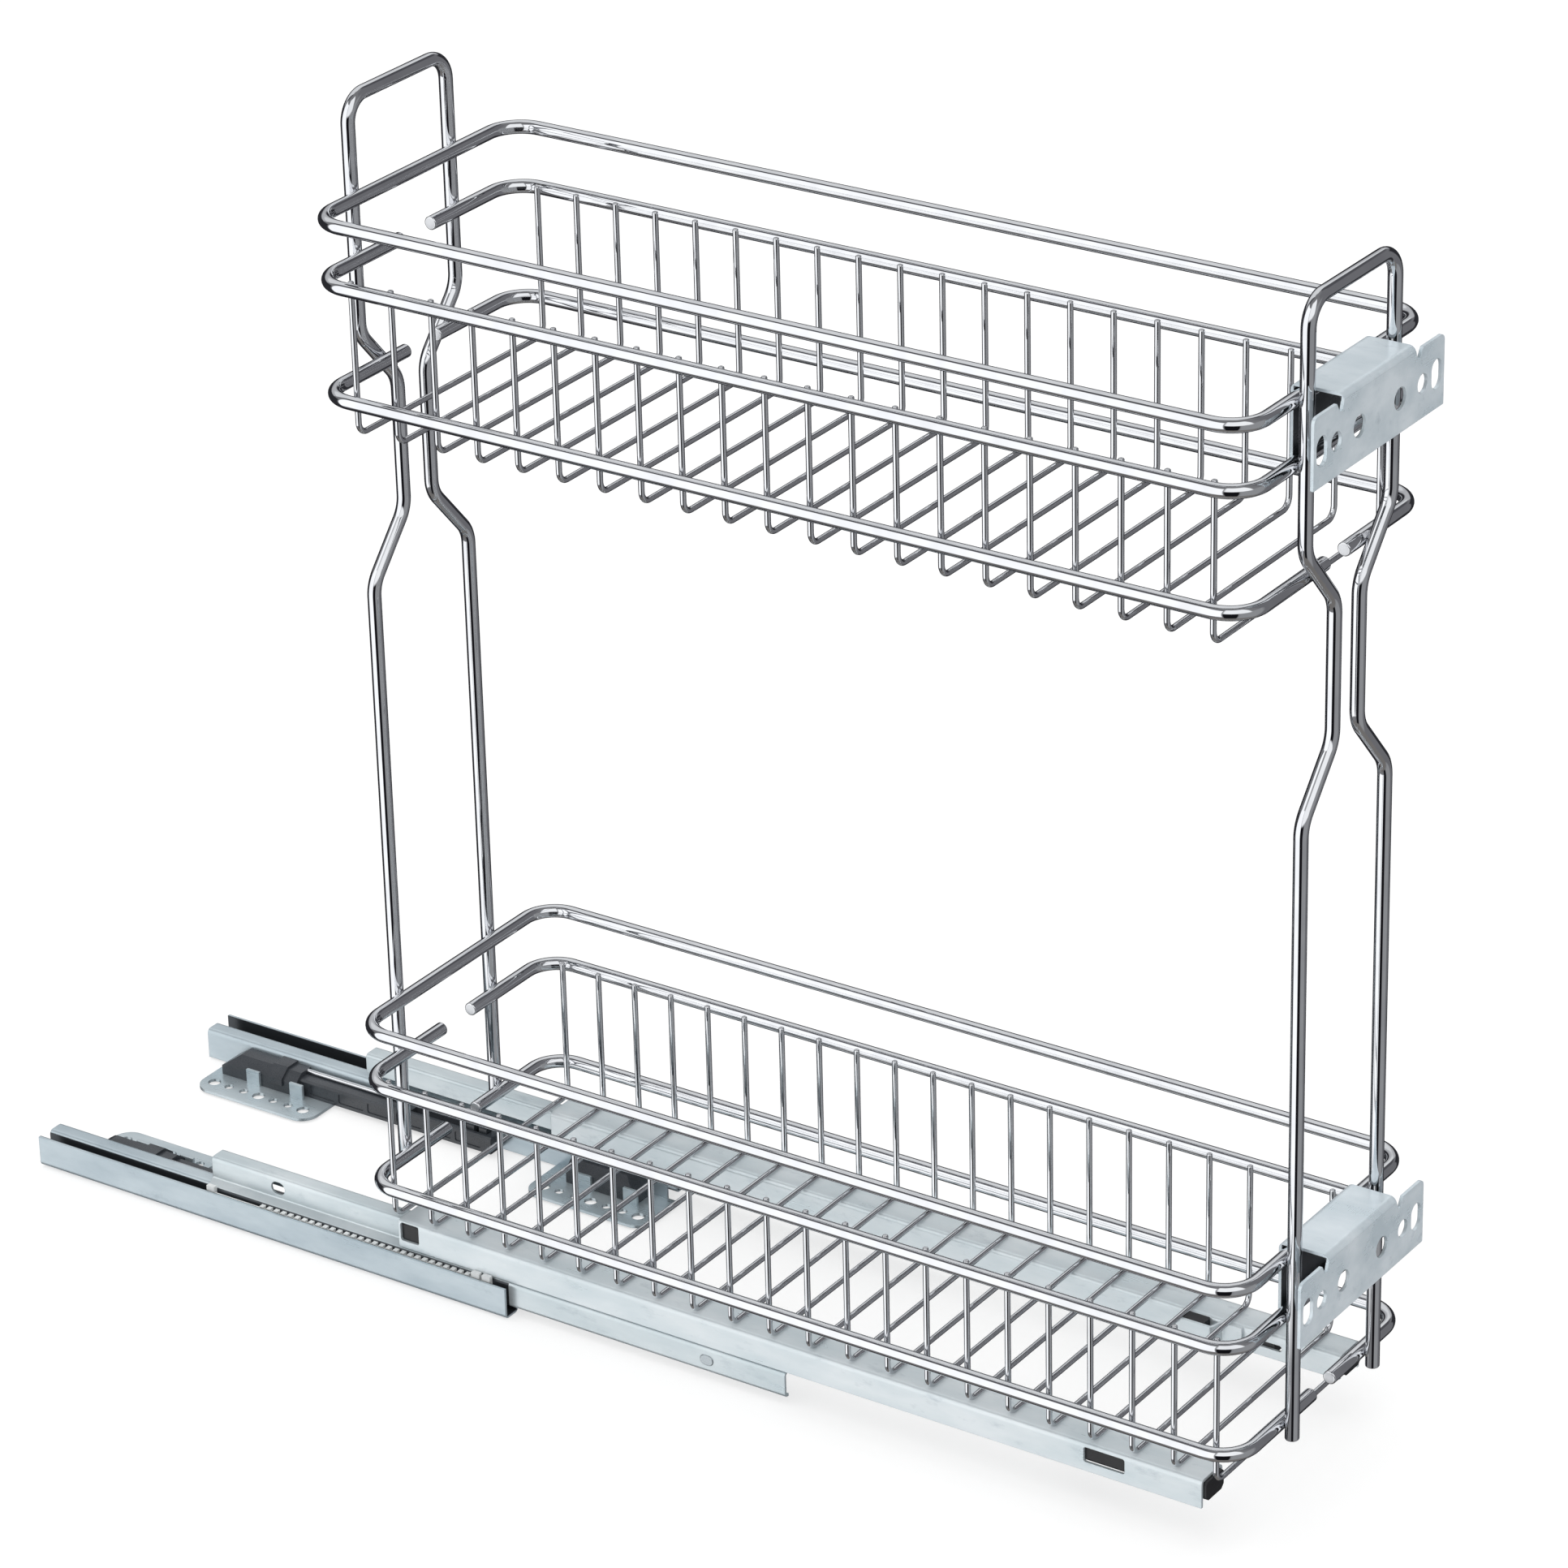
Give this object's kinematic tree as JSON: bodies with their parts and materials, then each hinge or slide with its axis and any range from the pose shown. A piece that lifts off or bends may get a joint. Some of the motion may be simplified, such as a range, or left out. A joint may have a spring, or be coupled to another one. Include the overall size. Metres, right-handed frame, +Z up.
{
  "type": "pull-out spice rack",
  "caption": "Narrow pull-out rack: chromed wire baskets between bent wire frames, on a ball-slide carriage with soft-close dampers and door brackets.",
  "frame": {"origin": "centre of the outline at the level of the cabinet floor, with the carriage pulled all the way out", "axes": "+Z up, -Y towards the cabinet door, +Y towards the back of the cabinet, +X to the right seen from the door"},
  "size_m": [0.1544, 0.6934, 0.5768],
  "materials": {
    "chrome_wire": "bright polished chrome plate",
    "zinc_sheet": "pale blue-grey zinc plate, satin with faint streaks",
    "bright_steel": "drawn steel rod",
    "ball_steel": "polished bearing steel",
    "grey_plastic": "dark grey moulded plastic, fine satin",
    "black_plastic": "black moulded plastic",
    "white_plastic": "off-white moulded plastic"
  },
  "bodies": {
    "base": {"damper_block_left": "grey_plastic", "damper_block_right": "grey_plastic", "damper_clip_left": "grey_plastic", "damper_clip_right": "grey_plastic", "damper_housing_left": "grey_plastic", "damper_housing_right": "grey_plastic", "damper_rod_left": "bright_steel", "damper_rod_right": "bright_steel", "fixed_rail_left": "zinc_sheet", "fixed_rail_right": "zinc_sheet", "front_base_plate_left": "zinc_sheet", "front_base_plate_right": "zinc_sheet", "front_foot_left": "grey_plastic", "front_foot_right": "grey_plastic", "rear_base_plate_left": "zinc_sheet", "rear_base_plate_right": "zinc_sheet"},
    "carriage": {"carrier_front_cap_left": "black_plastic", "carrier_front_cap_right": "black_plastic", "carrier_lock_block_left": "black_plastic", "carrier_lock_block_right": "black_plastic", "carrier_rail_left": "zinc_sheet", "carrier_rail_right": "zinc_sheet", "carrier_rear_stop_left": "black_plastic", "carrier_rear_stop_right": "black_plastic", "front_frame": "chrome_wire", "hook_pad_left": "black_plastic", "hook_pad_right": "black_plastic", "lower_bottom_rail_left": "chrome_wire", "lower_bottom_rail_right": "chrome_wire", "lower_cross_wires": "chrome_wire", "lower_door_bracket": "zinc_sheet", "lower_middle_rail": "chrome_wire", "lower_top_rail": "chrome_wire", "rear_frame": "chrome_wire", "upper_bottom_rail_left": "chrome_wire", "upper_bottom_rail_right": "chrome_wire", "upper_cross_wires": "chrome_wire", "upper_door_bracket": "zinc_sheet", "upper_middle_rail": "chrome_wire", "upper_top_rail": "chrome_wire", "wire_hook_left": "zinc_sheet", "wire_hook_right": "zinc_sheet"},
    "middle_left": {"middle_rail_left": "zinc_sheet", "middle_rivet_left": "zinc_sheet"},
    "lower_cage_left": {"lower_ball_cage_left": "white_plastic", "lower_balls_left": "ball_steel"},
    "upper_cage_left": {"upper_ball_cage_left": "white_plastic", "upper_balls_left": "ball_steel"},
    "catch_left": {"damper_catch_left": "grey_plastic"},
    "middle_right": {"middle_rail_right": "zinc_sheet", "middle_rivet_right": "zinc_sheet"},
    "lower_cage_right": {"lower_ball_cage_right": "white_plastic", "lower_balls_right": "ball_steel"},
    "upper_cage_right": {"upper_ball_cage_right": "white_plastic", "upper_balls_right": "ball_steel"},
    "catch_right": {"damper_catch_right": "grey_plastic"}
  },
  "joints": [
    {"name": "carriage_slide", "type": "slide", "parent": "base", "child": "carriage", "axis": [0, 1, 0], "range_m": [0, 0.2175]},
    {"name": "middle_left_slide", "type": "slide", "parent": "base", "child": "middle_left", "axis": [0, 1, 0], "range_m": [0, 0.10201]},
    {"name": "lower_cage_left_slide", "type": "slide", "parent": "base", "child": "lower_cage_left", "axis": [0, 1, 0], "range_m": [0, 0.05101]},
    {"name": "upper_cage_left_slide", "type": "slide", "parent": "base", "child": "upper_cage_left", "axis": [0, 1, 0], "range_m": [0, 0.15976]},
    {"name": "catch_left_slide", "type": "slide", "parent": "base", "child": "catch_left", "axis": [0, 1, 0], "range_m": [0, 0.034]},
    {"name": "middle_right_slide", "type": "slide", "parent": "base", "child": "middle_right", "axis": [0, 1, 0], "range_m": [0, 0.10201]},
    {"name": "lower_cage_right_slide", "type": "slide", "parent": "base", "child": "lower_cage_right", "axis": [0, 1, 0], "range_m": [0, 0.05101]},
    {"name": "upper_cage_right_slide", "type": "slide", "parent": "base", "child": "upper_cage_right", "axis": [0, 1, 0], "range_m": [0, 0.15976]},
    {"name": "catch_right_slide", "type": "slide", "parent": "base", "child": "catch_right", "axis": [0, 1, 0], "range_m": [0, 0.034]}
  ],
  "couplings": [
    {"joint": "middle_left_slide", "follows": "carriage_slide", "ratio": 0.46897},
    {"joint": "lower_cage_left_slide", "follows": "carriage_slide", "ratio": 0.23448},
    {"joint": "upper_cage_left_slide", "follows": "carriage_slide", "ratio": 0.73448},
    {"joint": "middle_right_slide", "follows": "carriage_slide", "ratio": 0.46897},
    {"joint": "lower_cage_right_slide", "follows": "carriage_slide", "ratio": 0.23448},
    {"joint": "upper_cage_right_slide", "follows": "carriage_slide", "ratio": 0.73448}
  ]
}
